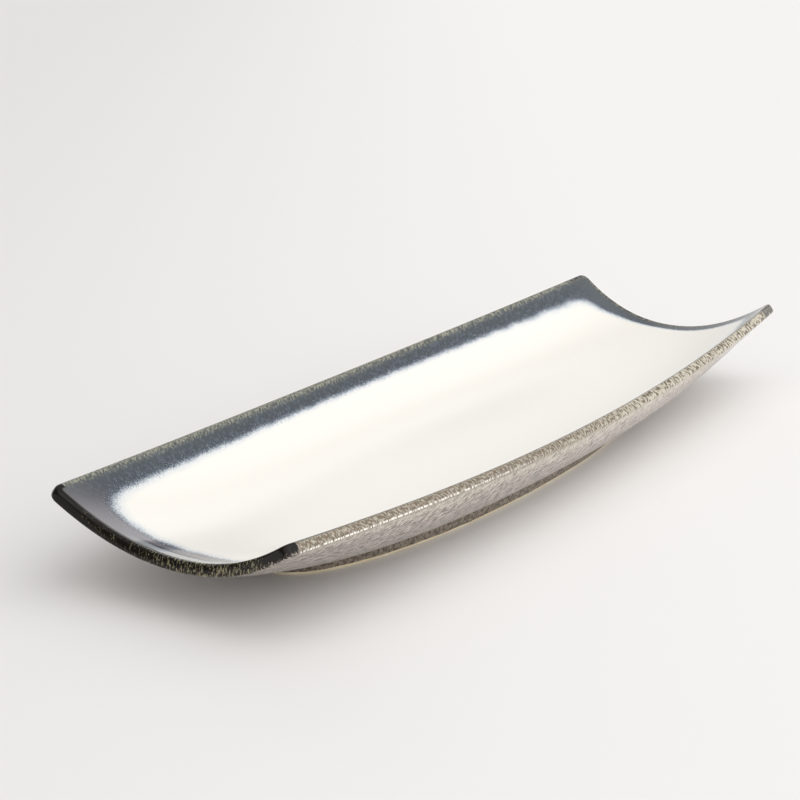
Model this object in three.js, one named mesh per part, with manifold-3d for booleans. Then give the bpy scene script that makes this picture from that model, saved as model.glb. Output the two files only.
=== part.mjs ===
// Long rectangular serving dish in glazed stoneware, standing on an oval foot ring.
// Millimetres, +Z up, +X along the dish. The origin is on the table, under the middle of the dish.

import * as THREE from 'three';
import { mergeVertices } from 'three/addons/utils/BufferGeometryUtils.js';
import Module from 'manifold-3d';

// Overall form: length and height are taken to the raised corners, before these are rounded
const LENGTH = 300;
const WIDTH_MIDDLE = 96.9;
const WIDTH_END = 80.2;
const HEIGHT = 30.9;
const CORNER_RADIUS = 1.1;

// How far the long rims sink at mid-length, the ends sink between their corners,
// and the ends curve inwards in plan
const RIM_SAG = 4.7;
const END_DIP = 13;
const END_HOLLOW = 3.2;

// Section of the trough: higher powers give a flatter floor and a steeper rise at its edge
const FLOOR_HEIGHT = 5.3;
const WALL_POWER_MIDDLE = 5.1;
const WALL_POWER_END = 2.1;
const FLOOR_POWER = 3.8;

// Clay, the glaze on both of its faces, and the plan width of the dark border at the sides and ends
const CLAY = 2.6;
const GLAZE = 0.5;
const BORDER_SIDE = 3.4;
const BORDER_END = 8;

// Section of the lip: a power of 2 makes it half-round, and higher powers make it squarer
const LIP_POWER = 4;

// Oval foot ring: its wall, bevelled edges, draft as a slope, and the bare strip over the bevel
const FOOT_LENGTH = 207.6;
const FOOT_WIDTH = 54;
const FOOT_OVAL_POWER = 2.08;
const FOOT_WALL = 5;
const FOOT_EDGE = 0.8;
const FOOT_DRAFT = 0.2;
const BARE_FOOT = 0.3;

// Clearance round the foot's pieces
const JOINT_GAP = 0.1;

// Fineness of the facets over half the length, half the width, the border, the lip and the foot
const LENGTH_STEPS = 9;
const WIDTH_STEPS = 7;
const BORDER_STEPS = 3;
const LIP_STEPS = 5;
const FOOT_STEPS = 64;
const GRADING = 1.5;

// Values that follow from the sizes above
const WALL = CLAY + 2 * GLAZE;
const CREST_LENGTH = (LENGTH - WALL) / 2;
const CREST_MIDDLE = (WIDTH_MIDDLE - WALL) / 2;
const CREST_END = (WIDTH_END - WALL) / 2;
const CORNER_Z = HEIGHT - WALL / 2;
const FLOOR_Z = FLOOR_HEIGHT + WALL / 2;
const END_Z = CORNER_Z - END_DIP;
const GLAZE_LINE = FOOT_EDGE + BARE_FOOT;
const ABOVE_DISH = 2 * HEIGHT;

const wasm = await Module();
wasm.setup();

// Middle of the wall at (u, v): u runs along the dish and v across it, both from -1 to 1
function middle(u, v) {
  const x = u * (CREST_LENGTH - END_HOLLOW * (1 - v * v));
  const y = v * (CREST_END + (CREST_MIDDLE - CREST_END) * (1 - u * u));
  const crest = CORNER_Z - RIM_SAG * (1 - u * u);
  const floor = FLOOR_Z + (END_Z - FLOOR_Z) * Math.abs(u) ** FLOOR_POWER;
  const power = WALL_POWER_MIDDLE + (WALL_POWER_END - WALL_POWER_MIDDLE) * u * u;
  return new THREE.Vector3(x, y, floor + (crest - floor) * Math.abs(v) ** power);
}

// Unit normal of that surface, pointing into the dish
function normalAt(u, v) {
  const step = 1e-4;
  const along = middle(u + step, v).sub(middle(u - step, v));
  const across = middle(u, v + step).sub(middle(u, v - step));
  return along.cross(across).normalize();
}

// Lines from -1 to 1: steps that shorten towards the border, then even steps over the border
function gridLines(steps, border) {
  const half = [];
  for (let i = 1; i <= steps; i++) {
    half.push((1 - border) * (1 - (1 - i / steps) ** GRADING));
  }
  for (let i = 1; i <= BORDER_STEPS; i++) {
    half.push(1 - border + (border * i) / BORDER_STEPS);
  }
  return [...half.map((value) => -value).reverse(), 0, ...half];
}

// Bends the corners of the square of lines into arcs of CORNER_RADIUS in plan
function roundCorner(a, b) {
  const reachU = CORNER_RADIUS / CREST_LENGTH;
  const reachV = CORNER_RADIUS / CREST_END;
  const p = (Math.abs(a) - 1 + reachU) / reachU;
  const q = (Math.abs(b) - 1 + reachV) / reachV;
  if (p <= 0 || q <= 0) return [a, b];
  const u = 1 - reachU + reachU * p * Math.sqrt(1 - (q * q) / 2);
  const v = 1 - reachV + reachV * q * Math.sqrt(1 - (p * p) / 2);
  return [Math.sign(a) * u, Math.sign(b) * v];
}

// Points and normals of the middle surface at every crossing of the lines
const linesU = gridLines(LENGTH_STEPS, BORDER_END / CREST_LENGTH);
const linesV = gridLines(WIDTH_STEPS, BORDER_SIDE / CREST_MIDDLE);
const cellsU = linesU.length - 1;
const cellsV = linesV.length - 1;
const crossings = linesU.map((a) => linesV.map((b) => {
  const [u, v] = roundCorner(a, b);
  return { point: middle(u, v), normal: normalAt(u, v) };
}));

// Surface at a distance from the middle of the wall, as a function of the line numbers
function offsetSurface(distance) {
  return (i, j) => crossings[i][j].point.clone().addScaledVector(crossings[i][j].normal, distance);
}

// Two triangles for a four-sided facet, split from its first corner or from its second
function facet(triangles, a, b, c, d, fromFirst = true) {
  if (fromFirst) triangles.push([a, b, c], [a, c, d]);
  else triangles.push([a, b, d], [b, c, d]);
}

function geometryOf(triangles) {
  const geometry = new THREE.BufferGeometry();
  geometry.setFromPoints(triangles.flat());
  return mergeVertices(geometry);
}

// Upper and lower faces of one cell, with diagonals that mirror from quarter to quarter of the dish
function cellFaces(triangles, i, j, lower, upper) {
  const first = i < cellsU / 2 === j < cellsV / 2;
  facet(triangles, upper(i, j), upper(i + 1, j), upper(i + 1, j + 1), upper(i, j + 1), first);
  facet(triangles, lower(i, j), lower(i, j + 1), lower(i + 1, j + 1), lower(i + 1, j), first);
}

// Closed sheet between two surfaces over the cells that are kept
function sheet(kept, lower, upper) {
  const triangles = [];
  const isKept = (i, j) => i >= 0 && j >= 0 && i < cellsU && j < cellsV && kept(i, j);
  const edge = (i, j, nextI, nextJ) => {
    const rising = i + j < nextI + nextJ;
    facet(triangles, lower(i, j), lower(nextI, nextJ), upper(nextI, nextJ), upper(i, j), rising);
  };
  for (let i = 0; i < cellsU; i++) {
    for (let j = 0; j < cellsV; j++) {
      if (!isKept(i, j)) continue;
      cellFaces(triangles, i, j, lower, upper);
      if (!isKept(i, j - 1)) edge(i, j, i + 1, j);
      if (!isKept(i, j + 1)) edge(i + 1, j + 1, i, j + 1);
      if (!isKept(i - 1, j)) edge(i, j + 1, i, j);
      if (!isKept(i + 1, j)) edge(i + 1, j, i + 1, j + 1);
    }
  }
  return geometryOf(triangles);
}

// Crest line all round the rim, anticlockwise from above, with the outward direction at each point
function rimLoop() {
  const loop = [];
  for (let i = 0; i < cellsU; i++) loop.push([i, 0]);
  for (let j = 0; j < cellsV; j++) loop.push([cellsU, j]);
  for (let i = cellsU; i > 0; i--) loop.push([i, cellsV]);
  for (let j = cellsV; j > 0; j--) loop.push([0, j]);
  return loop.map(([i, j], k) => {
    const [lastI, lastJ] = loop[(k + loop.length - 1) % loop.length];
    const [nextI, nextJ] = loop[(k + 1) % loop.length];
    const { point, normal } = crossings[i][j];
    const tangent = crossings[nextI][nextJ].point.clone().sub(crossings[lastI][lastJ].point);
    return { point, normal, outward: tangent.cross(normal).normalize() };
  });
}
const rim = rimLoop();

// Lip of a given half-thickness about the crest line, from the inside face to the outside face
function lipPoint(k, half, step) {
  const angle = (Math.PI * step) / LIP_STEPS;
  const power = 2 / LIP_POWER;
  const cos = Math.cos(angle);
  const { point, normal, outward } = rim[k % rim.length];
  const place = point.clone().addScaledVector(normal, half * Math.sign(cos) * Math.abs(cos) ** power);
  return place.addScaledVector(outward, half * Math.sin(angle) ** power);
}

function lipFaces(triangles, half, facesOut) {
  for (let k = 0; k < rim.length; k++) {
    for (let step = 0; step < LIP_STEPS; step++) {
      const a = lipPoint(k, half, step);
      const b = lipPoint(k, half, step + 1);
      const c = lipPoint(k + 1, half, step + 1);
      const d = lipPoint(k + 1, half, step);
      if (facesOut) facet(triangles, a, b, c, d);
      else facet(triangles, a, d, c, b);
    }
  }
}

// Clay body: the inside and outside faces of the trough, joined by a square lip with soft edges
function clayBody() {
  const triangles = [];
  for (let i = 0; i < cellsU; i++) {
    for (let j = 0; j < cellsV; j++) {
      cellFaces(triangles, i, j, offsetSurface(-CLAY / 2), offsetSurface(CLAY / 2));
    }
  }
  lipFaces(triangles, CLAY / 2, true);
  return geometryOf(triangles);
}

// Glaze round the lip, from the border glaze inside the dish to the glaze outside it
function lipGlaze() {
  const triangles = [];
  const inner = CLAY / 2;
  const outer = CLAY / 2 + GLAZE;
  lipFaces(triangles, outer, true);
  lipFaces(triangles, inner, false);
  for (let k = 0; k < rim.length; k++) {
    const rising = k < cellsU + cellsV;
    facet(triangles, lipPoint(k, inner, 0), lipPoint(k, outer, 0),
      lipPoint(k + 1, outer, 0), lipPoint(k + 1, inner, 0), rising);
    facet(triangles, lipPoint(k, outer, LIP_STEPS), lipPoint(k, inner, LIP_STEPS),
      lipPoint(k + 1, inner, LIP_STEPS), lipPoint(k + 1, outer, LIP_STEPS), rising);
  }
  return geometryOf(triangles);
}

// Glaze inside the dish: a white pool, and the dark border between the pool and the lip
function inPool(i, j) {
  const alongPool = i >= BORDER_STEPS && i < cellsU - BORDER_STEPS;
  const acrossPool = j >= BORDER_STEPS && j < cellsV - BORDER_STEPS;
  return alongPool && acrossPool;
}

function insideGlaze(kept) {
  return sheet(kept, offsetSurface(CLAY / 2), offsetSurface(CLAY / 2 + GLAZE));
}

// Solids for cutting, made from closed meshes and turned back into meshes
function solidOf(geometry) {
  const vertProperties = new Float32Array(geometry.attributes.position.array);
  const triVerts = new Uint32Array(geometry.index.array);
  return new wasm.Manifold(new wasm.Mesh({ numProp: 3, vertProperties, triVerts }));
}

function geometryFrom(solid) {
  const mesh = solid.getMesh();
  const geometry = new THREE.BufferGeometry();
  geometry.setAttribute('position', new THREE.BufferAttribute(new Float32Array(mesh.vertProperties), 3));
  geometry.setIndex(new THREE.BufferAttribute(new Uint32Array(mesh.triVerts), 1));
  return geometry;
}

// Point on the foot's oval, grown by an offset, at a height
function footPoint(k, offset, z) {
  const angle = (2 * Math.PI * (k % FOOT_STEPS)) / FOOT_STEPS;
  const power = 2 / FOOT_OVAL_POWER;
  const cos = Math.cos(angle);
  const sin = Math.sin(angle);
  const x = (FOOT_LENGTH / 2 + offset) * Math.sign(cos) * Math.abs(cos) ** power;
  const y = (FOOT_WIDTH / 2 + offset) * Math.sign(sin) * Math.abs(sin) ** power;
  return new THREE.Vector3(x, y, z);
}

// How far the foot's sides lean out at a height above its bevel
function leanAt(z) {
  return FOOT_DRAFT * (z - FOOT_EDGE);
}

// Closed section of [offset, height] points carried round the oval
function footLoft(section) {
  const triangles = [];
  for (let k = 0; k < FOOT_STEPS; k++) {
    section.forEach(([offset, z], n) => {
      const [nextOffset, nextZ] = section[(n + 1) % section.length];
      facet(triangles, footPoint(k, offset, z), footPoint(k + 1, offset, z),
        footPoint(k + 1, nextOffset, nextZ), footPoint(k, nextOffset, nextZ));
    });
  }
  return solidOf(geometryOf(triangles));
}

// Solid that fills the oval between two heights, with an offset at each
function footPlug([lowOffset, lowZ], [highOffset, highZ]) {
  const triangles = [];
  const low = new THREE.Vector3(0, 0, lowZ);
  const high = new THREE.Vector3(0, 0, highZ);
  for (let k = 0; k < FOOT_STEPS; k++) {
    const a = footPoint(k, lowOffset, lowZ);
    const b = footPoint(k + 1, lowOffset, lowZ);
    const c = footPoint(k + 1, highOffset, highZ);
    const d = footPoint(k, highOffset, highZ);
    facet(triangles, a, b, c, d);
    triangles.push([low, b, a], [high, d, c]);
  }
  return solidOf(geometryOf(triangles));
}

// Everything above the clay's underside, down to a joint gap below it
function aboveUnderside() {
  const roof = (i, j) => crossings[i][j].point.clone().setZ(ABOVE_DISH);
  return solidOf(sheet(() => true, offsetSurface(-CLAY / 2 - JOINT_GAP), roof));
}

// Foot ring, cut to the curve of the underside: both sides lean, and the bare land is bevelled
function footRing() {
  const blank = footLoft([
    [-FOOT_EDGE, 0],
    [0, FOOT_EDGE],
    [leanAt(GLAZE_LINE), GLAZE_LINE],
    [leanAt(HEIGHT), HEIGHT],
    [-FOOT_WALL - leanAt(HEIGHT), HEIGHT],
    [-FOOT_WALL, FOOT_EDGE],
    [-FOOT_WALL + FOOT_EDGE, 0],
  ]);
  return geometryFrom(blank.subtract(aboveUnderside()));
}

// Glaze on the foot's outer side, from the underside down to the bare strip
function footSideGlaze() {
  const inner = JOINT_GAP;
  const outer = JOINT_GAP + GLAZE;
  const blank = footLoft([
    [leanAt(GLAZE_LINE) + inner, GLAZE_LINE],
    [leanAt(GLAZE_LINE) + outer, GLAZE_LINE],
    [leanAt(HEIGHT) + outer, HEIGHT],
    [leanAt(HEIGHT) + inner, HEIGHT],
  ]);
  return geometryFrom(blank.subtract(aboveUnderside()));
}

// Glaze under the dish: outside the foot, and in the well that the foot encloses
function undersideGlaze() {
  return solidOf(sheet(() => true, offsetSurface(-CLAY / 2 - GLAZE), offsetSurface(-CLAY / 2)));
}

function outerGlaze() {
  const clear = GLAZE + 2 * JOINT_GAP;
  const foot = footPlug([leanAt(GLAZE_LINE) + clear, GLAZE_LINE], [leanAt(HEIGHT) + clear, HEIGHT]);
  return geometryFrom(undersideGlaze().subtract(foot));
}

function wellGlaze() {
  const clear = FOOT_WALL + JOINT_GAP;
  const well = footPlug([-clear, FOOT_EDGE], [-clear - leanAt(HEIGHT), HEIGHT]);
  return geometryFrom(undersideGlaze().intersect(well));
}

// Finishes
const BARE_CLAY = { roughness: 0.85, metalness: 0 };
const GLOSSY_GLAZE = { roughness: 0.12, metalness: 0 };

function piece(name, geometry, color, finish) {
  const mesh = new THREE.Mesh(geometry, new THREE.MeshStandardMaterial({ color, ...finish }));
  mesh.name = name;
  return mesh;
}

const dish = new THREE.Group();
dish.add(
  piece('stoneware_body', clayBody(), 0xd8ccb2, BARE_CLAY),
  piece('foot_ring', footRing(), 0xd8ccb2, BARE_CLAY),
  piece('white_pool_glaze', insideGlaze(inPool), 0xf5f2eb, GLOSSY_GLAZE),
  piece('blue_border_glaze', insideGlaze((i, j) => !inPool(i, j)), 0x545960, GLOSSY_GLAZE),
  piece('dark_lip_glaze', lipGlaze(), 0x332e2a, GLOSSY_GLAZE),
  piece('mottled_outer_glaze', outerGlaze(), 0x80756a, GLOSSY_GLAZE),
  piece('foot_side_glaze', footSideGlaze(), 0x6d645b, GLOSSY_GLAZE),
  piece('foot_well_glaze', wellGlaze(), 0x80756a, GLOSSY_GLAZE),
);

export default dish;
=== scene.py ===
"""Looks of a long rectangular serving dish: glossy glaze coats on stoneware, on a pale floor."""

import math

import bpy
import numpy as np
from mathutils import Matrix, Vector


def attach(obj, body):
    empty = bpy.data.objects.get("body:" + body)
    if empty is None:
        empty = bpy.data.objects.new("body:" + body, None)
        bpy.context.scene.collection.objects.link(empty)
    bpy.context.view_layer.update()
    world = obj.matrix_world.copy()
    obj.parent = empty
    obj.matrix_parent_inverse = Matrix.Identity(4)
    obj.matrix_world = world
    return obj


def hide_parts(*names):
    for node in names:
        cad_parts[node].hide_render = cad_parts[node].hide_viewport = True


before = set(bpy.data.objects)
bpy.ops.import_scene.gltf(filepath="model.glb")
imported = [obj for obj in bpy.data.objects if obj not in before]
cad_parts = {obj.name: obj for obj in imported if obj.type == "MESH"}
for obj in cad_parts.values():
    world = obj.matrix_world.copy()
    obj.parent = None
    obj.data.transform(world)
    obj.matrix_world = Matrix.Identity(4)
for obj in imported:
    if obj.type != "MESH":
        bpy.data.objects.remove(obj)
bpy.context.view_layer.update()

# Sizes in millimetres, the same as the solids have
LENGTH = 300.0
WIDTH_MIDDLE = 96.9
WIDTH_END = 80.2
HEIGHT = 30.9
CORNER_RADIUS = 1.1
RIM_SAG = 4.7
END_DIP = 13.0
END_HOLLOW = 3.2
FLOOR_HEIGHT = 5.3
WALL_POWER_MIDDLE = 5.1
WALL_POWER_END = 2.1
FLOOR_POWER = 3.8
CLAY = 2.6
GLAZE = 0.5
BORDER_SIDE = 3.4
BORDER_END = 8.0
LIP_POWER = 4.0
FOOT_LENGTH = 207.6
FOOT_WIDTH = 54.0
FOOT_OVAL_POWER = 2.08
FOOT_WALL = 5.0
FOOT_EDGE = 0.8
FOOT_DRAFT = 0.2
BARE_FOOT = 0.3
JOINT_GAP = 0.1

# Values that follow from the sizes
WALL = CLAY + 2 * GLAZE
CREST_LENGTH = (LENGTH - WALL) / 2
CREST_MIDDLE = (WIDTH_MIDDLE - WALL) / 2
CREST_END = (WIDTH_END - WALL) / 2
CORNER_Z = HEIGHT - WALL / 2
FLOOR_Z = FLOOR_HEIGHT + WALL / 2
END_Z = CORNER_Z - END_DIP
GLAZE_LINE = FOOT_EDGE + BARE_FOOT
MM = 0.001

# Fineness of the meshes
LENGTH_STEPS = 80
WIDTH_STEPS = 32
BORDER_STEPS = 12
LIP_STEPS = 24
WALL_STEPS = 40
FOOT_STEPS = 400
FOOT_SIDE_STEPS = 10
FOOT_EDGE_STEPS = 6
WELL_STEPS = 40
GRADING = 1.3
SHARP_ANGLE = 40

# Rounds of the searches for a place on the surface
PLAN_ROUNDS = 30
SEAT_ROUNDS = 8

# Glaze that the solids leave out: its fillet at the foot, and the waver of its lower edge
FOOT_FILLET = 1.0
WAVER = 0.12
WAVES = ((7, 0), (17, 1), (41, 2))

# Width of the slate band inside the lip, in millimetres, and how tightly it turns the corners
BAND_SIDE = 4.4
BAND_SIDE_GROWTH = 2.6
BAND_NEAR_END = 9.5
BAND_FAR_END = 2.4
BAND_FAR_GROWTH = 4.5
BAND_ROUNDING = 1.7

# Where the near end's band gives way to the far end's, in half lengths of the dish
BAND_CHANGE = (-0.5, 0.5)

# Where the dark glaze of the ends gives way on the long lips, in millimetres from the end
DARK_NEAR_END = (1.2, 3.2)
DARK_FAR_END = (4.0, 14.0)


# The surface of the dish


def middle(u, v):
    """Middle of the wall at (u, v): u runs along the dish and v across it, both from -1 to 1."""
    x = u * (CREST_LENGTH - END_HOLLOW * (1 - v**2))
    y = v * (CREST_END + (CREST_MIDDLE - CREST_END) * (1 - u**2))
    crest = CORNER_Z - RIM_SAG * (1 - u**2)
    floor = FLOOR_Z + (END_Z - FLOOR_Z) * np.abs(u) ** FLOOR_POWER
    power = WALL_POWER_MIDDLE + (WALL_POWER_END - WALL_POWER_MIDDLE) * u**2
    return np.stack([x, y, floor + (crest - floor) * np.abs(v) ** power], -1)


def unit(vectors):
    """Vectors of the same directions with a length of 1."""
    return vectors / np.linalg.norm(vectors, axis=-1, keepdims=True)


def normal_at(u, v):
    """Unit normal of that surface, pointing into the dish."""
    step = 1e-4
    along = middle(u + step, v) - middle(u - step, v)
    across = middle(u, v + step) - middle(u, v - step)
    return unit(np.cross(along, across))


def surface(u, v, offset):
    """Point at an offset from the middle of the wall, towards the inside of the dish."""
    return middle(u, v) + offset * normal_at(u, v)


def over_plan(x, y, offset):
    """(u, v) whose point at that offset from the middle surface lies over (x, y)."""
    u, v = x / CREST_LENGTH, y / CREST_MIDDLE
    for _ in range(PLAN_ROUNDS):
        lean = offset * normal_at(u, v)
        u = (x - lean[..., 0]) / (CREST_LENGTH - END_HOLLOW * (1 - v**2))
        v = (y - lean[..., 1]) / (CREST_END + (CREST_MIDDLE - CREST_END) * (1 - u**2))
    return u, v


def grid_lines(steps, border):
    """Lines from -1 to 1, closer together towards the border and even over it."""
    pool = (1 - border) * (1 - (1 - np.arange(1, steps + 1) / steps) ** GRADING)
    edge = 1 - border + border * np.arange(1, BORDER_STEPS + 1) / BORDER_STEPS
    half = np.concatenate([pool, edge])
    return np.concatenate([-half[::-1], [0.0], half])


def round_corners(a, b):
    """Bends the corners of the square of lines into arcs of CORNER_RADIUS in plan."""
    reach_u, reach_v = CORNER_RADIUS / CREST_LENGTH, CORNER_RADIUS / CREST_END
    p = np.maximum((np.abs(a) - 1 + reach_u) / reach_u, 0)
    q = np.maximum((np.abs(b) - 1 + reach_v) / reach_v, 0)
    corner = (p > 0) & (q > 0)
    u = np.sign(a) * (1 - reach_u + reach_u * p * np.sqrt(1 - q**2 / 2))
    v = np.sign(b) * (1 - reach_v + reach_v * q * np.sqrt(1 - p**2 / 2))
    return np.where(corner, u, a), np.where(corner, v, b)


def smooth_step(value, low, high):
    """Smooth step from 0 to 1."""
    t = np.clip((value - low) / (high - low), 0, 1)
    return t * t * (3 - 2 * t)


# Meshes


def add_object(name, points, faces, normals, values):
    """Object in metres from points in millimetres, with a normal for each corner of each face."""
    used, faces = np.unique(faces, return_inverse=True)
    faces = faces.reshape(-1, 4)
    mesh = bpy.data.meshes.new(name)
    mesh.from_pydata((points[used] * MM).tolist(), [], faces.tolist())
    mesh.shade_smooth()
    for key, numbers in values.items():
        layer = mesh.attributes.new(key, "FLOAT", "POINT")
        layer.data.foreach_set("value", numbers[used].astype(np.float32))
    mesh.normals_split_custom_set(normals.reshape(-1, 3).tolist())
    piece = bpy.data.objects.new(name, mesh)
    bpy.context.scene.collection.objects.link(piece)
    return piece


def coat(name, front, back, facing, values, kept=None, loop=False):
    """Closed coat between two grids of points, over the kept cells. With loop, its rows close."""
    rows, columns = front.shape[:2]
    number = np.arange(rows * columns).reshape(rows, columns)
    if loop:
        number = np.concatenate([number, number[:1]])
    a, b = number[:-1, :-1], number[1:, :-1]
    c, d = number[1:, 1:], number[:-1, 1:]
    cells = np.ones(a.shape, bool) if kept is None else kept
    around = np.pad(cells, ((1, 1), (1, 1)))
    if loop:
        around[0], around[-1] = around[-2], around[1]
    quads = np.stack([a, b, c, d], -1)[cells]

    edges = []
    beside = (around[1:-1, :-2], around[2:, 1:-1], around[1:-1, 2:], around[:-2, 1:-1])
    for start, end, neighbour in zip((a, b, c, d), (b, c, d, a), beside):
        bare = cells & ~neighbour
        edges.append(np.stack([end[bare], start[bare]], -1))
    edges = np.concatenate(edges)

    count = rows * columns
    points = np.concatenate([front.reshape(-1, 3), back.reshape(-1, 3)])
    strips = np.concatenate([edges, edges[:, ::-1] + count], -1)
    corners = points[strips]
    strip_facing = np.cross(corners[:, 2] - corners[:, 0], corners[:, 3] - corners[:, 1])
    strip_facing /= np.maximum(np.linalg.norm(strip_facing, axis=-1, keepdims=True), 1e-9)
    flat = facing.reshape(-1, 3)
    back_quads = quads[:, ::-1]
    normals = [flat[quads], -flat[back_quads], np.repeat(strip_facing[:, None], 4, 1)]
    faces = [quads, back_quads + count, strips]
    both = {key: np.tile(numbers.ravel(), 2) for key, numbers in values.items()}
    return add_object(name, points, np.concatenate(faces), np.concatenate(normals), both)


def grid_facing(points):
    """Normals of a grid of points whose rows close on themselves."""
    along = np.roll(points, -1, 0) - np.roll(points, 1, 0)
    return unit(np.cross(along, np.gradient(points, axis=1)))


# The grid over the inside of the dish, and the glaze's zones on it

lines_u = grid_lines(LENGTH_STEPS, BORDER_END / CREST_LENGTH)
lines_v = grid_lines(WIDTH_STEPS, BORDER_SIDE / CREST_MIDDLE)
grid_u, grid_v = round_corners(*np.meshgrid(lines_u, lines_v, indexing="ij"))
grid_middle = middle(grid_u, grid_v)
grid_normal = normal_at(grid_u, grid_v)
grid_inside = grid_middle + grid_normal * WALL / 2


def run_to_edge(points, axis):
    """Distance along the grid lines to the nearer edge of the dish."""
    lengths = np.linalg.norm(np.diff(points, axis=axis), axis=-1)
    start = np.zeros_like(np.take(lengths, [0], axis))
    run = np.concatenate([start, np.cumsum(lengths, axis)], axis)
    return np.minimum(run, np.take(run, [-1], axis) - run)


def soft_least(first, second):
    """Smaller of two numbers, rounded where they are close, and the first one's share in it."""
    weight, other = np.exp(-BAND_ROUNDING * first), np.exp(-BAND_ROUNDING * second)
    least = -np.log(weight + other) / BAND_ROUNDING
    return np.maximum(least, 0), weight / (weight + other)


def long_side(points, v):
    """0 at the ends and corners of the dish, 1 along its long sides, from points in mid-wall."""
    x = points[..., 0]
    run = CREST_LENGTH - END_HOLLOW * (1 - v**2) - np.abs(x)
    return np.where(x < 0, smooth_step(run, *DARK_NEAR_END), smooth_step(run, *DARK_FAR_END))


def inside_values():
    """Values that the glaze follows: place in the slate band, side or end, and way to the lip."""
    side_run, end_run = run_to_edge(grid_inside, 1), run_to_edge(grid_inside, 0)
    side_band = side_run / (BAND_SIDE + BAND_SIDE_GROWTH * grid_u**2)
    far_width = BAND_FAR_END + BAND_FAR_GROWTH * smooth_step(grid_v, 0, 1)
    end_width = BAND_NEAR_END + (far_width - BAND_NEAR_END) * smooth_step(grid_u, *BAND_CHANGE)
    band, turn = soft_least(side_band, end_run / end_width)
    return {
        "band": band,
        "turn": turn,
        "across": -np.minimum(side_run, end_run) * MM,
        "side": long_side(grid_middle, grid_v),
    }


def in_pool():
    """Cells of the grid that the white pool covers."""
    cells = np.zeros((len(lines_u) - 1, len(lines_v) - 1), bool)
    cells[BORDER_STEPS:-BORDER_STEPS, BORDER_STEPS:-BORDER_STEPS] = True
    return cells


def inside_coat(name, kept):
    back = grid_middle + grid_normal * CLAY / 2
    return coat(name, grid_inside, back, grid_normal, inside_values(), kept)


# The rim: the crest line all round the grid, anticlockwise from above


def around_grid(grid):
    return np.concatenate([grid[:-1, 0], grid[-1, :-1], grid[:0:-1, -1], grid[0, :0:-1]])


rim_u, rim_v = around_grid(grid_u), around_grid(grid_v)
rim_middle, rim_normal = around_grid(grid_middle), around_grid(grid_normal)
rim_outward = unit(np.cross(np.roll(rim_middle, -1, 0) - np.roll(rim_middle, 1, 0), rim_normal))
rim_turn = rim_outward[:, 1] ** 2 / (rim_outward[:, :2] ** 2).sum(-1)


def lip_section():
    """Section of the lip from the outside face to the inside face, for a half-thickness of 1."""
    angle = np.linspace(math.pi, 0, LIP_STEPS + 1)
    cos, sin = np.cos(angle), np.maximum(np.sin(angle), 0)
    power = 2 / LIP_POWER
    points = np.stack([np.sign(cos) * np.abs(cos) ** power, sin**power], -1)
    facing = unit(np.sign(points) * np.abs(points) ** (LIP_POWER - 1))
    return points, facing


lip_points, lip_facing = lip_section()
lip_lengths = np.linalg.norm(np.diff(lip_points[::-1], axis=0), axis=-1) * WALL / 2
lip_across = np.concatenate([[0.0], np.cumsum(lip_lengths)])[::-1]
LIP_ARC = lip_across[0]


def lip():
    """Coat over the crest line, from the outside face to the inside face."""

    def about_crest(section):
        return section[:, :1] * rim_normal[:, None] + section[:, 1:] * rim_outward[:, None]

    front = rim_middle[:, None] + about_crest(lip_points) * WALL / 2
    back = rim_middle[:, None] + about_crest(lip_points) * CLAY / 2
    shape = front.shape[:2]
    values = {
        "band": np.zeros(shape),
        "turn": np.broadcast_to(rim_turn[:, None], shape),
        "across": np.broadcast_to(lip_across * MM, shape),
        "side": np.broadcast_to(long_side(rim_middle, rim_v)[:, None], shape),
    }
    return coat("dark_lip", front, back, about_crest(lip_facing), values, loop=True)


# The foot: an oval ring, and the glaze outside and inside it


def foot_plan(angle, offset):
    """Plan of the foot's oval, grown by an offset."""
    power = 2 / FOOT_OVAL_POWER
    cos, sin = np.cos(angle), np.sin(angle)
    x = (FOOT_LENGTH / 2 + offset) * np.sign(cos) * np.abs(cos) ** power
    y = (FOOT_WIDTH / 2 + offset) * np.sign(sin) * np.abs(sin) ** power
    return x, y


def lean_at(z):
    """How far the foot's sides lean out at a height above its rounded edge."""
    return FOOT_DRAFT * (z - FOOT_EDGE)


def foot_point(angle, offset, z):
    return np.stack([*foot_plan(angle, offset), z + np.zeros_like(angle)], -1)


def under_dish(angle, start, lean, depth):
    """Where the foot's leaning side, at an offset from the oval, meets the dish's underside."""
    z = np.full_like(angle, FLOOR_HEIGHT)
    for _ in range(SEAT_ROUNDS):
        point = surface(*over_plan(*foot_plan(angle, start + lean * lean_at(z)), -depth), -depth)
        z = point[..., 2]
    return point


def waver(angle):
    """Uneven lower edge of the glaze, as runs of glaze leave it."""
    return WAVER * sum(np.sin(count * angle + start) for count, start in WAVES) / len(WAVES)


foot_angle = np.linspace(0, 2 * math.pi, FOOT_STEPS, endpoint=False)


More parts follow.
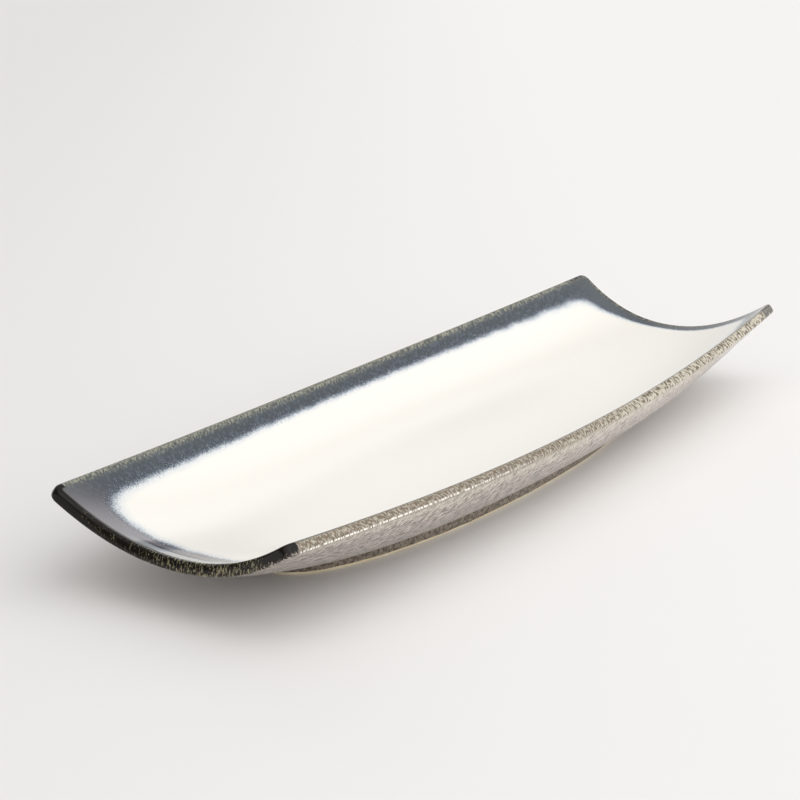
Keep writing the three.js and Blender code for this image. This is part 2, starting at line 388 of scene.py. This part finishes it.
def foot_side():
    """Coat on the foot's outer side: rolled lower edge, leaning side and fillet to the dish."""
    skin = JOINT_GAP + GLAZE
    low = GLAZE_LINE + waver(foot_angle)
    corner = under_dish(foot_angle, skin, 1, WALL / 2)
    over = over_plan(*foot_plan(foot_angle, skin + lean_at(corner[:, 2]) + FOOT_FILLET), -WALL / 2)
    end = surface(*over, -WALL / 2)
    top = np.maximum(corner[:, 2] - FOOT_FILLET, low + GLAZE)
    roll = np.linspace(0, math.pi / 2, FOOT_SIDE_STEPS)
    edge = [
        foot_point(
            foot_angle,
            lean_at(low) + JOINT_GAP + GLAZE * math.sin(t),
            low + GLAZE * (1 - math.cos(t)),
        )
        for t in roll
    ]
    side = [
        foot_point(foot_angle, lean_at(z) + skin, z)
        for z in np.linspace(low + GLAZE, top, FOOT_SIDE_STEPS)[1:]
    ]
    bend = [
        (1 - t) ** 2 * side[-1] + 2 * t * (1 - t) * corner + t**2 * end
        for t in np.linspace(0, 1, FOOT_SIDE_STEPS)[1:]
    ]
    front = np.stack(edge + side + bend, 1)
    inner = under_dish(foot_angle, JOINT_GAP, 1, CLAY / 2 + JOINT_GAP)
    share = np.linspace(0, 1, front.shape[1])[None, :, None]
    back = front[:, :1] * (1 - share) + inner[:, None] * share
    return coat("foot_side", front, back, grid_facing(front), {}, loop=True)


def foot_ring():
    """Bare ring of clay with rounded edges, cut to the underside of the dish."""
    turn = np.linspace(0, math.pi / 2, FOOT_EDGE_STEPS + 1)
    outer = [(FOOT_EDGE * (math.sin(t) - 1), FOOT_EDGE * (1 - math.cos(t))) for t in turn]
    inner = [(-FOOT_WALL - offset, z) for offset, z in outer[::-1]]
    depth = CLAY / 2 + JOINT_GAP
    outer_top = under_dish(foot_angle, 0, 1, depth)
    inner_top = under_dish(foot_angle, -FOOT_WALL, -1, depth)
    section = [inner_top]
    section += [foot_point(foot_angle, offset, z) for offset, z in inner]
    section += [foot_point(foot_angle, offset, z) for offset, z in outer]
    section += [outer_top]
    points = np.stack(section, 1)
    number = np.arange(points.shape[0] * points.shape[1]).reshape(points.shape[:2])
    next_round, next_step = np.roll(number, -1, 0), np.roll(number, -1, 1)
    opposite = np.roll(next_round, -1, 1)
    faces = np.stack([number, next_round, opposite, next_step], -1).reshape(-1, 4)
    mesh = bpy.data.meshes.new("foot")
    mesh.from_pydata((points.reshape(-1, 3) * MM).tolist(), [], faces.tolist())
    mesh.shade_smooth()
    mesh.set_sharp_from_angle(angle=math.radians(SHARP_ANGLE))
    piece = bpy.data.objects.new("foot", mesh)
    bpy.context.scene.collection.objects.link(piece)
    return piece


def outer_wall():
    """Coat on the outside, from the foot's fillet up to the lip."""
    angle = np.arctan2(rim_v, rim_u)
    skin = JOINT_GAP + GLAZE
    corner = under_dish(angle, skin, 1, WALL / 2)
    start = skin + lean_at(corner[:, 2]) + FOOT_FILLET / 2
    foot_u, foot_v = over_plan(*foot_plan(angle, start), -WALL / 2)
    share = np.linspace(0, 1, WALL_STEPS + 1)[None, :]
    u = foot_u[:, None] + (rim_u - foot_u)[:, None] * share
    v = foot_v[:, None] + (rim_v - foot_v)[:, None] * share
    facing = -normal_at(u, v)
    front = middle(u, v) + facing * WALL / 2
    back = middle(u, v) + facing * CLAY / 2
    steps = np.linalg.norm(np.diff(front[:, ::-1], axis=1), axis=-1)
    drop = np.concatenate([np.zeros((len(steps), 1)), np.cumsum(steps, 1)], 1)[:, ::-1]
    values = {
        "band": np.zeros_like(drop),
        "turn": np.broadcast_to(rim_turn[:, None], drop.shape),
        "across": (LIP_ARC + drop) * MM,
        "side": np.broadcast_to(long_side(rim_middle, rim_v)[:, None], drop.shape),
    }
    return coat("outer_wall", front, back, facing, values, loop=True)


def foot_well():
    """Coat under the floor, inside the foot ring."""
    line = np.linspace(-1, 1, WELL_STEPS + 1)
    a, b = np.meshgrid(line, line, indexing="ij")
    p, q = a * np.sqrt(1 - b**2 / 2), b * np.sqrt(1 - a**2 / 2)
    angle, radius = np.arctan2(q, p), np.hypot(p, q)
    edge = under_dish(angle, -FOOT_WALL - JOINT_GAP, -1, WALL / 2)
    u, v = over_plan(edge[..., 0], edge[..., 1], -WALL / 2)
    u, v = u * radius, v * radius
    facing = -normal_at(u, v)
    front = (middle(u, v) + facing * WALL / 2)[:, ::-1]
    back = (middle(u, v) + facing * CLAY / 2)[:, ::-1]
    return coat("foot_well", front, back, facing[:, ::-1], {})


# Materials


def tone(red, green, blue):
    """Colour of a screen's 0 to 255 steps as a shader colour."""
    steps = [step / 255 for step in (red, green, blue)]
    return [s / 12.92 if s <= 0.04045 else ((s + 0.055) / 1.055) ** 2.4 for s in steps] + [1.0]


# Colours. SLATE_TO_WHITE runs with the depth into the inside. The pairs are the ends of a mix.
SLATE_TO_WHITE = {
    0.0: tone(66, 72, 76),
    0.25: tone(57, 65, 73),
    0.65: tone(51, 59, 69),
    0.84: tone(60, 68, 81),
    0.96: tone(108, 117, 130),
    1.07: tone(172, 180, 189),
    1.2: tone(220, 223, 225),
    1.5: tone(241, 238, 232),
}
SLATE_BLOTCH = tone(88, 100, 112)
# Slate of the near end and the far end; the near end's pale grey-violet is painted reflection
END_SLATE_AND_REFLECTION = (tone(124, 120, 126), tone(90, 97, 104))
WHITE_SPECK = tone(224, 228, 234)
NEAR_END_PALE_STRIP = tone(164, 168, 172)
NEAR_END_DARK_LINE = tone(44, 46, 66)
SHOULDER_OLIVE = (tone(96, 99, 94), tone(158, 157, 142))
LIP_CREAM = (tone(174, 166, 153), tone(200, 193, 178))
LIP_BROWN = (tone(118, 107, 93), tone(108, 97, 82))
# Painted highlight along the outer edge of the long lips
LIP_PAINTED_HIGHLIGHT = tone(246, 242, 236)
END_LIP_BLACK = tone(20, 17, 13)
END_LIP_FLECK = (tone(100, 94, 74), tone(146, 138, 112))
FAR_END_LIP = (tone(64, 68, 72), tone(142, 138, 126))
WALL_DARK = (tone(102, 91, 87), tone(130, 118, 112))
WALL_PALE = (tone(204, 193, 184), tone(222, 213, 205))
WALL_DRIP = tone(208, 200, 186)
FOOT_TAUPE = (tone(94, 85, 77), tone(142, 131, 118))
FOOT_SPECK = tone(178, 169, 152)
WELL_TAUPE = (tone(112, 102, 94), tone(150, 140, 129))
WELL_SPOT = tone(186, 178, 161)
WELL_SPECK = tone(84, 76, 69)
CLAY_CREAM = (tone(240, 229, 204), tone(228, 214, 184))
CLAY_SAND = tone(188, 168, 134)
CLAY_SPECK = tone(120, 92, 64)

# Finish of the glazes and the clay
GLAZE_IOR = 1.5
CLAY_IOR = 1.45
GLAZE_GLOSS = 0.5
LIP_GLOSS = 0.22
GLAZE_RELIEF = 0.16
FOOT_RELIEF = 0.1
CLAY_RELIEF = 0.08


class Paint:
    """Node tree of one material, with a short call for each kind of node."""

    def __init__(self, name, **finish):
        self.material = bpy.data.materials.new(name)
        self.material.use_nodes = True
        self.tree = self.material.node_tree
        self.shader = self.tree.nodes["Principled BSDF"]
        for key, value in finish.items():
            socket = key.replace("_", " ").title().replace("Ior", "IOR")
            self.shader.inputs[socket].default_value = value

    def add(self, kind, inputs, output, **settings):
        """Node with its inputs fed and its settings set. Gives one of its outputs."""
        node = self.tree.nodes.new(kind)
        for key, value in settings.items():
            setattr(node, key, value)
        for key, value in inputs.items():
            self.feed(node.inputs[key], value)
        return node.outputs[output]

    def feed(self, socket, value):
        if isinstance(value, bpy.types.NodeSocket):
            self.tree.links.new(value, socket)
        else:
            socket.default_value = value

    def wear(self, key, value):
        """Feeds an input of the shader."""
        self.feed(self.shader.inputs[key], value)

    def number(self, name):
        """Value that the mesh carries."""
        return self.add("ShaderNodeAttribute", {}, "Fac", attribute_name=name)

    def sum(self, a, b):
        return self.add("ShaderNodeMath", {0: a, 1: b}, 0, operation="ADD")

    def times(self, a, b):
        return self.add("ShaderNodeMath", {0: a, 1: b}, 0, operation="MULTIPLY")

    def rest(self, a):
        return self.add("ShaderNodeMath", {0: 1.0, 1: a}, 0, operation="SUBTRACT")

    def size_of(self, a):
        return self.add("ShaderNodeMath", {0: a}, 0, operation="ABSOLUTE")

    def spread(self, value, reach):
        """Noise that ranges about 0.5, turned into one that ranges about 0 with that reach."""
        inputs = {0: value, 1: reach, 2: -reach / 2}
        return self.add("ShaderNodeMath", inputs, 0, operation="MULTIPLY_ADD")

    def step(self, value, low, high):
        """Smooth step from 0 to 1."""
        inputs = {"Value": value, "From Min": low, "From Max": high}
        return self.add("ShaderNodeMapRange", inputs, 0, interpolation_type="SMOOTHSTEP")

    def mix(self, share, a, b):
        """Mix of two colours."""
        return self.add("ShaderNodeMix", {0: share, 6: a, 7: b}, 2, data_type="RGBA")

    def between(self, share, a, b):
        """Mix of two numbers."""
        return self.add("ShaderNodeMix", {0: share, 2: a, 3: b}, 0, data_type="FLOAT")

    def stops(self, value, stops):
        """Colour that runs through stops, given as {value: colour}, where value is from 0 to 2."""
        node = self.tree.nodes.new("ShaderNodeValToRGB")
        self.feed(node.inputs[0], self.times(value, 0.5))
        elements = node.color_ramp.elements
        while len(elements) < len(stops):
            elements.new(0.5)
        for element, (place, colour) in zip(elements, sorted(stops.items())):
            element.position = place / 2
            element.color = colour
        return node.outputs[0]

    def place(self):
        return self.add("ShaderNodeTexCoord", {}, "Object")

    def axis(self, vector, name):
        return self.add("ShaderNodeSeparateXYZ", {0: vector}, name)

    def vector(self, x, y, z):
        return self.add("ShaderNodeCombineXYZ", {0: x, 1: y, 2: z}, 0)

    def stretch(self, vector, scale):
        return self.add("ShaderNodeVectorMath", {0: vector, 1: scale}, 0, operation="MULTIPLY")

    def noise(self, vector, scale, detail):
        inputs = {"Vector": vector, "Scale": scale, "Detail": detail, "Roughness": 0.5}
        return self.add("ShaderNodeTexNoise", inputs, "Fac")

    def grain(self, size, detail=2.0):
        """Noise with spots of a size in millimetres."""
        return self.noise(self.place(), 1 / (size * MM), detail)

    def relief(self, height, depth):
        """Bump from a height of 0 to 1, for a depth in millimetres."""
        inputs = {"Height": height, "Distance": depth * MM, "Strength": 1.0}
        self.wear("Normal", self.add("ShaderNodeBump", inputs, "Normal"))


class DishPaint(Paint):
    """Paint that follows the zones of the dish: its inside, border, lip and outside."""

    def __init__(self, name, **finish):
        super().__init__(name, **finish)
        self.band, self.turn = self.number("band"), self.number("turn")
        self.across, self.side = self.number("across"), self.number("side")
        place = self.place()
        self.x, self.y = self.axis(place, "X"), self.axis(place, "Y")

    def along(self, low, high):
        """Smooth step over the length of the dish, in millimetres from its middle."""
        return self.step(self.x, low * MM, high * MM)

    def aside(self, low, high):
        """Smooth step over the width of the dish, in millimetres from its middle."""
        return self.step(self.y, low * MM, high * MM)

    def beyond(self, low, high, shift=0.0):
        """Smooth step over the distance from the inner edge of the lip, in millimetres."""
        reach = self.sum(self.across, self.times(shift, MM))
        return self.step(reach, low * MM, high * MM)

    def streaks(self, width, length, slant=0.0, seed=0.0, detail=2.0):
        """Noise in streaks that run over the rim, with sizes in millimetres."""
        found = []
        for run, start in ((self.x, seed), (self.y, seed + 40)):
            leaning = self.sum(run, self.times(self.across, slant))
            vector = self.vector(leaning, self.across, start * MM)
            scale = (1 / (width * MM), 1 / (length * MM), 1 / MM)
            found.append(self.noise(self.stretch(vector, scale), 1.0, detail))
        return self.between(self.turn, found[1], found[0])

    def inside_colour(self):
        """White that turns to slate over a speckled edge, with white specks in the slate, and paler
        slate at the ends, painted reflection at the near end.
        """
        feather = self.spread(self.streaks(width=0.5, length=1.6, seed=3), reach=0.3)
        cloud = self.spread(self.grain(size=0.4, detail=4), reach=0.6)
        drift = self.spread(self.grain(size=7), reach=0.3)
        depth = self.sum(self.sum(self.band, drift), self.sum(feather, cloud))
        colour = self.stops(depth, SLATE_TO_WHITE)
        slate = self.rest(self.step(self.band, 0.7, 1))
        spots = self.step(self.grain(size=1.3, detail=3), 0.48, 0.62)
        blotch = self.times(spots, self.times(self.turn, slate))
        colour = self.mix(self.times(blotch, 0.4), colour, SLATE_BLOTCH)
        # Paler slate over the ends; at the near end it is painted reflection of the surroundings
        end = self.times(self.rest(self.turn), slate)
        end_slate_and_reflection = self.mix(self.along(-60, 60), *END_SLATE_AND_REFLECTION)
        colour = self.mix(self.times(end, 0.75), colour, end_slate_and_reflection)
        colour = self.with_near_end_strip(colour)
        specks = self.step(self.grain(size=0.32), 0.65, 0.7)
        specks = self.times(specks, self.step(self.band, 0.3, 0.9))
        return self.mix(self.times(specks, 0.8), colour, WHITE_SPECK)

    def with_near_end_strip(self, colour):
        """Adds a pale strip in the border of the near end, next to the lip, and a dark line along
        it.
        """
        # A pale strip and a dark line painted near the near end's lip, on one half of it
        strip = self.times(self.rest(self.turn), self.along(-100, -110))
        strip = self.times(strip, self.aside(20, 6))
        colour = self.mix(self.times(strip, self.beyond(-4.0, -3.4)), colour, NEAR_END_PALE_STRIP)
        line = self.times(self.beyond(-5.6, -4.8), self.rest(self.beyond(-3.9, -3.2)))
        return self.mix(self.times(strip, line), colour, NEAR_END_DARK_LINE)

    def side_lip_colour(self, flecks):
        """Cream with brown flecks, and a broken painted highlight on the outer edge towards the
        near end.
        """
        far = self.along(-60, 60)
        denser = self.times(self.rest(far), 0.04)
        share = self.step(self.sum(flecks, denser), 0.45, 0.59)
        colour = self.mix(share, self.mix(far, *LIP_CREAM), self.mix(far, *LIP_BROWN))
        # Painted highlight: a broken pale line along the lip's outer edge, fading out towards the
        # middle
        edge = self.times(self.beyond(4.3, 4.6), self.rest(self.beyond(4.8, 5.2)))
        edge = self.times(edge, self.rest(self.along(-75, -25)))
        highlight_breaks = self.step(self.streaks(width=0.7, length=4.0, seed=23, detail=3), 0.42, 0.56)
        return self.mix(self.times(edge, highlight_breaks), colour, LIP_PAINTED_HIGHLIGHT)

    def end_lip_colour(self):
        """Flecks on black at the near end, closest on one half and below; on grey at the far."""
        runs = self.streaks(width=0.55, length=2.0, seed=11, detail=4)
        flecks = self.between(0.4, runs, self.grain(size=0.6, detail=3))
        half = self.aside(22, -8)
        corner = self.step(self.size_of(self.y), 28 * MM, 36 * MM)
        bias = self.sum(self.times(half, 0.06), self.times(self.beyond(2.5, 5.5), 0.03))
        bias = self.sum(bias, self.times(corner, -0.15))
        share = self.step(self.sum(flecks, bias), 0.54, 0.7)
        near = self.mix(share, END_LIP_BLACK, self.mix(half, *END_LIP_FLECK))
        far = self.mix(self.step(flecks, 0.44, 0.6), *FAR_END_LIP)
        return self.mix(self.along(-20, 20), near, far)

    def wall_colour(self, strokes):
        """Taupe with fine slanting strokes, paler towards one end, and pale drips below the lip."""
        far = self.along(-60, 50)
        share = self.step(strokes, 0.45, 0.57)
        fine = self.mix(share, self.mix(far, *WALL_DARK), self.mix(far, *WALL_PALE))
        drips = self.streaks(width=0.6, length=2.0, slant=0.5, seed=29, detail=4)
        fade = self.times(self.times(self.rest(self.beyond(6, 14)), self.side), 0.14)
        return self.mix(self.step(self.sum(drips, fade), 0.58, 0.66), fine, WALL_DRIP)

    def colour(self, flecks, strokes):
        """Colours of the zones, each laid over the one before with a ragged edge."""
        long_rim = self.step(self.sum(self.side, self.spread(flecks, reach=0.8)), 0.35, 0.65)
        colour = self.inside_colour()
        shoulder = self.times(self.beyond(-0.8, 1.3, self.spread(flecks, reach=4.5)), long_rim)
        olive = self.mix(self.step(flecks, 0.4, 0.6), *SHOULDER_OLIVE)
        colour = self.mix(self.times(shoulder, 0.8), colour, olive)
        dark_end = self.times(self.beyond(-0.6, 0.2), self.rest(long_rim))
        colour = self.mix(dark_end, colour, self.end_lip_colour())
        side_lip = self.times(self.beyond(1.4, 2.2, self.spread(flecks, reach=1.6)), long_rim)
        colour = self.mix(side_lip, colour, self.side_lip_colour(flecks))
        narrow = self.times(self.aside(-24, -36), self.rest(self.side))
        wall = self.beyond(4.8, 6.6, self.sum(narrow, self.spread(flecks, reach=5.0)))
        return self.mix(wall, colour, self.wall_colour(strokes))

    def dress(self):
        """Gives the material its colour, roughness and relief."""
        fine = self.streaks(width=0.7, length=1.2, seed=7, detail=3)
        coarse = self.streaks(width=1.1, length=1.8, seed=5, detail=3)
        flecks = self.between(self.along(-20, 60), fine, coarse)
        strokes = self.streaks(width=0.75, length=2.6, slant=0.9, seed=17, detail=4)
        self.wear("Base Color", self.colour(flecks, strokes))
        outside = self.beyond(4.6, 7)
        pool = self.times(self.step(self.band, 0.8, 1.2), 0.14)
        rough = self.sum(pool, self.times(outside, 0.14))
        self.wear("Roughness", self.sum(rough, self.times(self.grain(size=2), 0.1)))
        swell = self.times(self.grain(size=3), 0.12)
        texture = self.times(self.sum(flecks, strokes), self.between(outside, 0.12, 0.5))
        self.relief(self.sum(swell, self.times(texture, self.beyond(0.5, 2))), GLAZE_RELIEF)
        return self.material


def dish_glaze(name, gloss=GLAZE_GLOSS):
    return DishPaint(name, ior=GLAZE_IOR, specular_ior_level=gloss).dress()


def foot_glaze():
    paint = Paint("foot_glaze", ior=GLAZE_IOR)
    spots, fine = paint.grain(size=1.1, detail=3), paint.grain(size=0.35)
    colour = paint.mix(paint.step(spots, 0.4, 0.6), *FOOT_TAUPE)
    colour = paint.mix(paint.step(fine, 0.58, 0.7), colour, FOOT_SPECK)
    paint.wear("Base Color", colour)
    paint.wear("Roughness", paint.sum(0.12, paint.times(fine, 0.16)))
    paint.relief(spots, FOOT_RELIEF)
    return paint.material


def well_glaze():
    paint = Paint("well_glaze", ior=GLAZE_IOR)
    clouds, spots = paint.grain(size=9, detail=4), paint.grain(size=1.3, detail=3)
    fine = paint.grain(size=0.4)
    colour = paint.mix(paint.step(clouds, 0.3, 0.7), *WELL_TAUPE)
    colour = paint.mix(paint.step(spots, 0.56, 0.68), colour, WELL_SPOT)
    colour = paint.mix(paint.step(fine, 0.6, 0.72), colour, WELL_SPECK)
    paint.wear("Base Color", colour)
    paint.wear("Roughness", paint.sum(0.12, paint.times(clouds, 0.16)))
    paint.relief(spots, FOOT_RELIEF)
    return paint.material


def bare_clay(name):
    paint = Paint(name, ior=CLAY_IOR)
    sand, stain = paint.grain(size=0.5, detail=3), paint.grain(size=14)
    fine = paint.grain(size=0.22)
    colour = paint.mix(paint.step(stain, 0.3, 0.7), *CLAY_CREAM)
    colour = paint.mix(paint.times(paint.step(sand, 0.5, 0.7), 0.4), colour, CLAY_SAND)
    colour = paint.mix(paint.times(paint.step(fine, 0.68, 0.74), 0.7), colour, CLAY_SPECK)
    paint.wear("Base Color", colour)
    paint.wear("Roughness", paint.sum(0.62, paint.times(sand, 0.3)))
    paint.relief(sand, CLAY_RELIEF)
    return paint.material


# Floor, light and camera

# Painted light on the floor: it gets paler towards one side, as if more light falls from there,
# over a range in metres
FLOOR_RADIUS = 6.0
FLOOR_SIDES = 96
FLOOR_LIGHT_SIDE = (0.545, -0.839)
FLOOR_LIGHT_RANGE = (-0.33, 0.12)
FLOOR_SHADED_TO_LIT = (tone(225, 224, 224), tone(242, 241, 241))

# Glows in the sky: where they are, the cosines at which they start and are full, and how strong
SKY_TONE = tone(255, 254, 252)
SKY_BASE = 0.15
SKY_GLOWS = [
    {"azimuth": 13, "elevation": 67, "edge": 0.15, "full": 1.0, "strength": 0.115},
    {"azimuth": 14, "elevation": 27, "edge": 0.68, "full": 0.89, "strength": 0.18},
    {"azimuth": 38, "elevation": 9, "edge": 0.75, "full": 0.97, "strength": 0.74},
    {"azimuth": -80, "elevation": 46, "edge": 0.7, "full": 0.95, "strength": 0.46},
    {"azimuth": -86, "elevation": 9, "edge": -0.1, "full": 0.9, "strength": 0.96},
    {"azimuth": 120, "elevation": 84, "edge": 0.7, "full": 0.95, "strength": 0.38},
    {"azimuth": 207, "elevation": 42, "edge": 0.6, "full": 0.95, "strength": 0.8},
]

CAMERA_AZIMUTH = 212.945
CAMERA_ELEVATION = 17.02
CAMERA_ROLL = 0.656
CAMERA_PLACE = (-0.545532, -0.328817, 0.219625)
CAMERA_LENS = 94.505
CAMERA_SENSOR = 36.0
CAMERA_CLIP = 0.01


def direction(azimuth, elevation):
    """Unit vector towards an azimuth and an elevation in degrees."""
    turn, rise = math.radians(azimuth), math.radians(elevation)
    level = math.cos(rise)
    return Vector((level * math.cos(turn), level * math.sin(turn), math.sin(rise)))


def floor():
    bpy.ops.mesh.primitive_circle_add(vertices=FLOOR_SIDES, radius=FLOOR_RADIUS, fill_type="NGON")
    piece = bpy.context.object
    piece.name = "floor"
    paint = Paint("floor", roughness=0.8, specular_ior_level=0.0)
    place = paint.place()
    # Painted light: the floor's colour pales towards one side
    run_x = paint.times(paint.axis(place, "X"), FLOOR_LIGHT_SIDE[0])
    run_y = paint.times(paint.axis(place, "Y"), FLOOR_LIGHT_SIDE[1])
    share = paint.step(paint.sum(run_x, run_y), *FLOOR_LIGHT_RANGE)
    paint.wear("Base Color", paint.mix(share, *FLOOR_SHADED_TO_LIT))
    piece.data.materials.append(paint.material)


def sky():
    """Dim surroundings with soft glows in them, as studio walls with lights behind cloth."""
    world = bpy.data.worlds.new("sky")
    world.use_nodes = True
    nodes, links = world.node_tree.nodes, world.node_tree.links
    place = nodes.new("ShaderNodeTexCoord")
    total = nodes.new("ShaderNodeValue").outputs[0]
    total.default_value = SKY_BASE
    for glow in SKY_GLOWS:
        toward = nodes.new("ShaderNodeVectorMath")
        toward.operation = "DOT_PRODUCT"
        toward.inputs[1].default_value = direction(glow["azimuth"], glow["elevation"])
        level = nodes.new("ShaderNodeMapRange")
        level.interpolation_type = "SMOOTHSTEP"
        level.inputs["From Min"].default_value = glow["edge"]
        level.inputs["From Max"].default_value = glow["full"]
        level.inputs["To Max"].default_value = glow["strength"]
        added = nodes.new("ShaderNodeMath")
        links.new(place.outputs["Generated"], toward.inputs[0])
        links.new(toward.outputs["Value"], level.inputs["Value"])
        links.new(total, added.inputs[0])
        links.new(level.outputs[0], added.inputs[1])
        total = added.outputs[0]
    links.new(total, nodes["Background"].inputs["Strength"])
    nodes["Background"].inputs["Color"].default_value = SKY_TONE
    bpy.context.scene.world = world


def camera():
    data = bpy.data.cameras.new("camera")
    data.lens = CAMERA_LENS
    data.sensor_width = CAMERA_SENSOR
    data.clip_start = CAMERA_CLIP
    eye = bpy.data.objects.new("camera", data)
    back = direction(CAMERA_AZIMUTH, CAMERA_ELEVATION)
    right = Vector((0, 0, 1)).cross(back).normalized()
    up = back.cross(right)
    cos, sin = math.cos(math.radians(CAMERA_ROLL)), math.sin(math.radians(CAMERA_ROLL))
    right, up = cos * right + sin * up, cos * up - sin * right
    turn = Matrix((right, up, back)).transposed().to_4x4()
    eye.matrix_world = Matrix.Translation(CAMERA_PLACE) @ turn
    bpy.context.scene.collection.objects.link(eye)
    bpy.context.scene.camera = eye


# Put together


def dress(piece, node, material):
    """Gives a piece its material and puts it in the place of a node of the solids."""
    piece.data.materials.append(material)
    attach(piece, "root")
    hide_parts(node)


camera()
floor()
sky()

pool, border = inside_coat("white_pool", in_pool()), inside_coat("blue_border", ~in_pool())
dress(pool, "white_pool_glaze", dish_glaze("white_glaze"))
dress(border, "blue_border_glaze", dish_glaze("border_glaze"))
dress(lip(), "dark_lip_glaze", dish_glaze("lip_glaze", LIP_GLOSS))
dress(outer_wall(), "mottled_outer_glaze", dish_glaze("outer_glaze"))
dress(foot_side(), "foot_side_glaze", foot_glaze())
dress(foot_well(), "foot_well_glaze", well_glaze())
dress(foot_ring(), "foot_ring", bare_clay("foot_clay"))

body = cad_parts["stoneware_body"]
body.data.materials.clear()
body.data.materials.append(bare_clay("stoneware"))

bpy.context.scene.view_settings.view_transform = "Standard"

bpy.context.view_layer.update()
